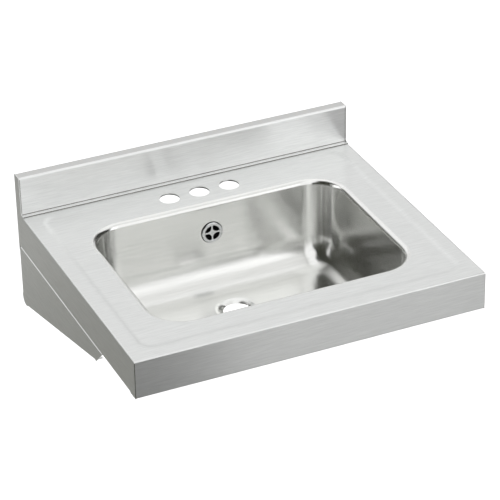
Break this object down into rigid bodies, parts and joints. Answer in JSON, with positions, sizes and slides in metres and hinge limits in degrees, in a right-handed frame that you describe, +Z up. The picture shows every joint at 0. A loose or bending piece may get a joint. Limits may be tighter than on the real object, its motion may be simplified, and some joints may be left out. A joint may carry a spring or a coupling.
{
  "type": "wall-hung lavatory sink",
  "caption": "Wall-hung stainless steel lavatory sink with a backsplash, raised-border deck, coved rectangular bowl, overflow grid, tapered side gussets and a lift-off wall hanger.",
  "frame": {"origin": "middle of the wall hanger's row of screw holes, on the wall plane", "axes": "+Z up, +X to the right as seen from the front, +Y into the wall, so the sink's front faces -Y"},
  "size_m": [0.5588, 0.4826, 0.2295],
  "materials": {
    "satin_stainless": "satin brushed stainless steel sheet",
    "hanger_steel": "plain mill-finish steel strip",
    "bright_chrome": "polished chrome plate",
    "black_rubber": "black rubber seal",
    "elbow_plastic": "black moulded drainage plastic",
    "damping_pad": "dark grey sound-deadening rubber pad",
    "plated_fasteners": "zinc-plated steel"
  },
  "bodies": {
    "hanger": {"wall_hanger": "hanger_steel"},
    "sink": {"deck_pan": "satin_stainless", "bowl": "satin_stainless", "backsplash": "satin_stainless", "faucet_stiffener": "hanger_steel", "overflow_grid": "bright_chrome", "overflow_front_seal": "black_rubber", "overflow_rear_gasket": "black_rubber", "overflow_elbow": "elbow_plastic", "left_floor_pad": "damping_pad", "right_floor_pad": "damping_pad", "front_wall_pad": "damping_pad", "left_wall_pad": "damping_pad", "right_wall_pad": "damping_pad", "left_side_panel": "satin_stainless", "right_side_panel": "satin_stainless", "left_gusset": "satin_stainless", "right_gusset": "satin_stainless", "left_gusset_bolts": "plated_fasteners", "right_gusset_bolts": "plated_fasteners", "left_gusset_nuts": "plated_fasteners", "right_gusset_nuts": "plated_fasteners"}
  },
  "joints": [
    {"name": "lift_off", "type": "slide", "parent": "hanger", "child": "sink", "axis": [0, 0, 1], "range_m": [0, 0.03]}
  ]
}
